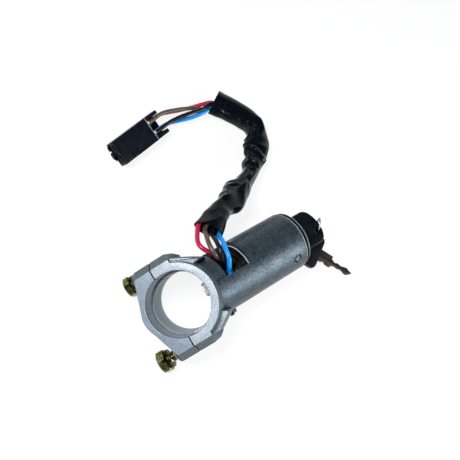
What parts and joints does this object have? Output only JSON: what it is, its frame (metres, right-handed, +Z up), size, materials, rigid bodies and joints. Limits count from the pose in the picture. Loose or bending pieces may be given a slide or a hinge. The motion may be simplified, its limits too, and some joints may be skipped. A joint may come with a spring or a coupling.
{
  "type": "ignition switch",
  "caption": "Steering column ignition lock with a split clamp ring, slanted barrel, keys on a wire ring, sleeved wire harness and plug-in connector.",
  "frame": {"origin": "centre of the bounding box of the lock and keys without the harness, on the surface that they rest on", "axes": "+X along the barrel from the clamp to the key, level; +Z up; +Y towards the side where the harness lies"},
  "size_m": [0.1615, 0.1736, 0.0537],
  "materials": {
    "casting": "dark blue grey chromated die casting",
    "cap_casting": "pale chromated die casting",
    "dark_zinc": "dark oiled die casting",
    "plug_metal": "polished plating",
    "steel": "plain steel",
    "yellow_zinc": "yellow passivated zinc plating",
    "brass": "stamped strip",
    "black_plastic": "moulded black plastic",
    "brown_plastic": "moulded brown plastic",
    "key_plastic": "smooth dark plastic",
    "key_steel": "darkened steel",
    "black_vinyl": "glossy creased vinyl",
    "red_insulation": "smooth insulation",
    "brown_insulation": "smooth insulation",
    "black_insulation": "smooth insulation",
    "blue_insulation": "smooth insulation"
  },
  "bodies": {
    "lock": {"lock_housing": "casting", "clamp_cap": "cap_casting", "clamp_bolt_upper": "yellow_zinc", "clamp_bolt_lower": "yellow_zinc", "spring_washer_upper": "yellow_zinc", "spring_washer_lower": "yellow_zinc", "tongue_spring": "steel", "lock_sleeve": "dark_zinc", "switch_body": "black_plastic", "terminal_red": "brass", "terminal_brown": "brass", "terminal_black": "brass", "terminal_blue": "brass", "housing_screw": "steel", "lug_pin": "steel", "harness_sleeve": "black_vinyl", "wire_red": "red_insulation", "wire_brown": "brown_insulation", "wire_black": "black_insulation", "wire_blue": "blue_insulation", "connector_housing": "black_plastic", "contact_red": "brass", "contact_brown": "brass", "contact_black": "brass", "contact_blue": "brass"},
    "cylinder": {"lock_plug": "plug_metal", "wafer_1": "brass", "wafer_2": "brass", "wafer_3": "brass", "wafer_4": "brass", "wafer_5": "brass", "lock_cam": "steel", "switch_drum": "brown_plastic", "contact_bridge": "brass"},
    "tongue": {"lock_tongue": "steel"},
    "key": {"key_head": "key_plastic", "key_blade": "key_steel"},
    "ring": {"key_ring": "steel"},
    "spare_key": {"spare_key_head": "key_plastic", "spare_key_blade": "key_steel"}
  },
  "joints": [
    {"name": "key_turn", "type": "hinge", "parent": "lock", "child": "cylinder", "pos_m": [0.03129, 0.00446, 0.02061], "axis": [-0.9968, 0, 0.0802], "range_deg": [0, 100]},
    {"name": "tongue_slide", "type": "slide", "parent": "lock", "child": "tongue", "axis": [0.9968, 0, -0.0802], "range_m": [0, 0.007], "deforming": ["tongue_spring"]},
    {"name": "key_slide", "type": "slide", "parent": "cylinder", "child": "key", "axis": [0.9968, 0, -0.0802], "range_m": [0, 0.03]},
    {"name": "ring_swing", "type": "hinge", "parent": "key", "child": "ring", "pos_m": [0.06435, -0.00032, 0.01754], "axis": [0.0799, -0.0863, 0.9931], "range_deg": [-10, 8]},
    {"name": "spare_key_swing", "type": "hinge", "parent": "ring", "child": "spare_key", "pos_m": [0.05727, 0.00403, 0.00881], "axis": [0.0817, -0.1334, 0.9877], "range_deg": [-3, 12]}
  ],
  "couplings": [
    {"joint": "tongue_slide", "follows": "key_turn", "m_per_rad": 0.004}
  ]
}
